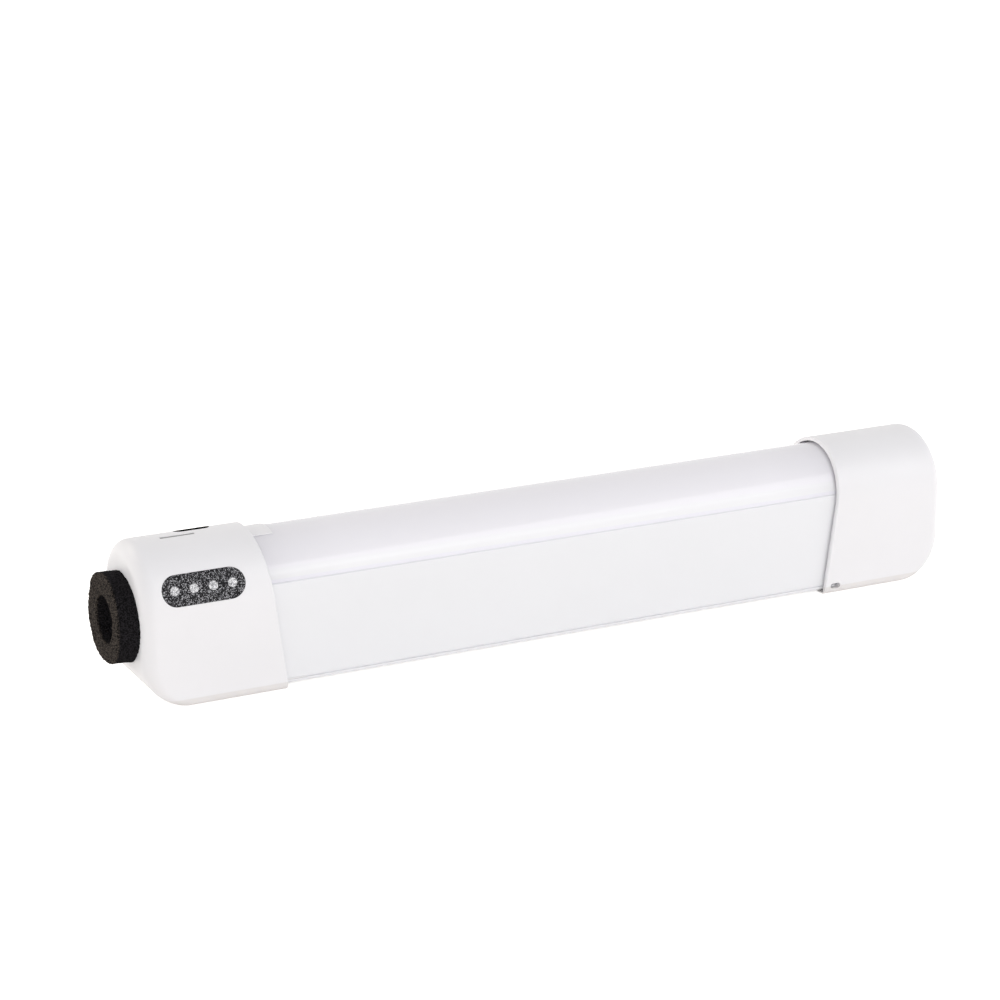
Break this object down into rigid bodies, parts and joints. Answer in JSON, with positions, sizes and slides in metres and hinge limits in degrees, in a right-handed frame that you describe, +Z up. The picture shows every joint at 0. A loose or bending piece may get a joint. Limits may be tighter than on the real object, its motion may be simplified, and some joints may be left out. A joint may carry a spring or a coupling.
{
  "type": "led light tube",
  "caption": "Battery light tube: flat-sided extruded body with a half-round opal diffuser, moulded end caps, battery gauge, push button and a threaded grip socket behind a foam ring.",
  "frame": {"origin": "on the surface that the tube lies on, under the middle of its whole length, foam ring included", "axes": "+X along the tube from the foam ring to the plain cap, +Y away from the battery gauge, +Z up from the flat underside to the crown of the diffuser"},
  "size_m": [0.3064, 0.039, 0.0514],
  "materials": {
    "white_extrusion": "white powder coat, satin",
    "opal_diffuser": "opal, satin",
    "white_moulding": "fine satin",
    "black_foam": "open-cell foam, matt",
    "smoked_window": "dark grey, fine speckle",
    "light_guide": "frosted",
    "black_key": "satin",
    "grey_guide": "satin",
    "plated_brass": "turned",
    "switch_black": "moulded",
    "circuit_board": "solder resist",
    "white_board": "white solder resist on aluminium",
    "chip": "moulded",
    "led": "phosphor",
    "port_steel": "drawn",
    "nickel": "nickel plated",
    "cell_can": "shrink sleeve over a can",
    "cradle_black": "moulded",
    "seal": "moulded",
    "screw_steel": "zinc plated"
  },
  "bodies": {
    "tube": {"channel": "white_extrusion", "diffuser": "opal_diffuser", "control_cap": "white_moulding", "end_cap": "white_moulding", "foam_ring": "black_foam", "gauge_window": "smoked_window", "gauge_dot_1": "light_guide", "gauge_dot_2": "light_guide", "gauge_dot_3": "light_guide", "gauge_dot_4": "light_guide", "status_bar": "grey_guide", "thread_insert": "plated_brass", "button_switch": "switch_black", "button_board": "circuit_board", "board_screws": "screw_steel", "gauge_board": "circuit_board", "gauge_leds": "led", "main_board": "circuit_board", "board_parts": "chip", "charge_port": "port_steel", "led_board": "white_board", "led_emitters": "led", "cell_1": "cell_can", "cell_2": "cell_can", "cell_3": "cell_can", "cell_cradle": "cradle_black", "contact_front": "nickel", "contact_rear": "nickel", "front_gasket": "seal", "rear_gasket": "seal", "control_cap_screws": "screw_steel"},
    "button": {"power_button": "black_key", "button_plunger": "switch_black"}
  },
  "joints": [
    {"name": "power_button", "type": "slide", "parent": "tube", "child": "button", "axis": [0, 0, -1], "range_m": [0, 0.0006], "stiffness_N_per_m": 800, "springref_m": -0.0006}
  ]
}
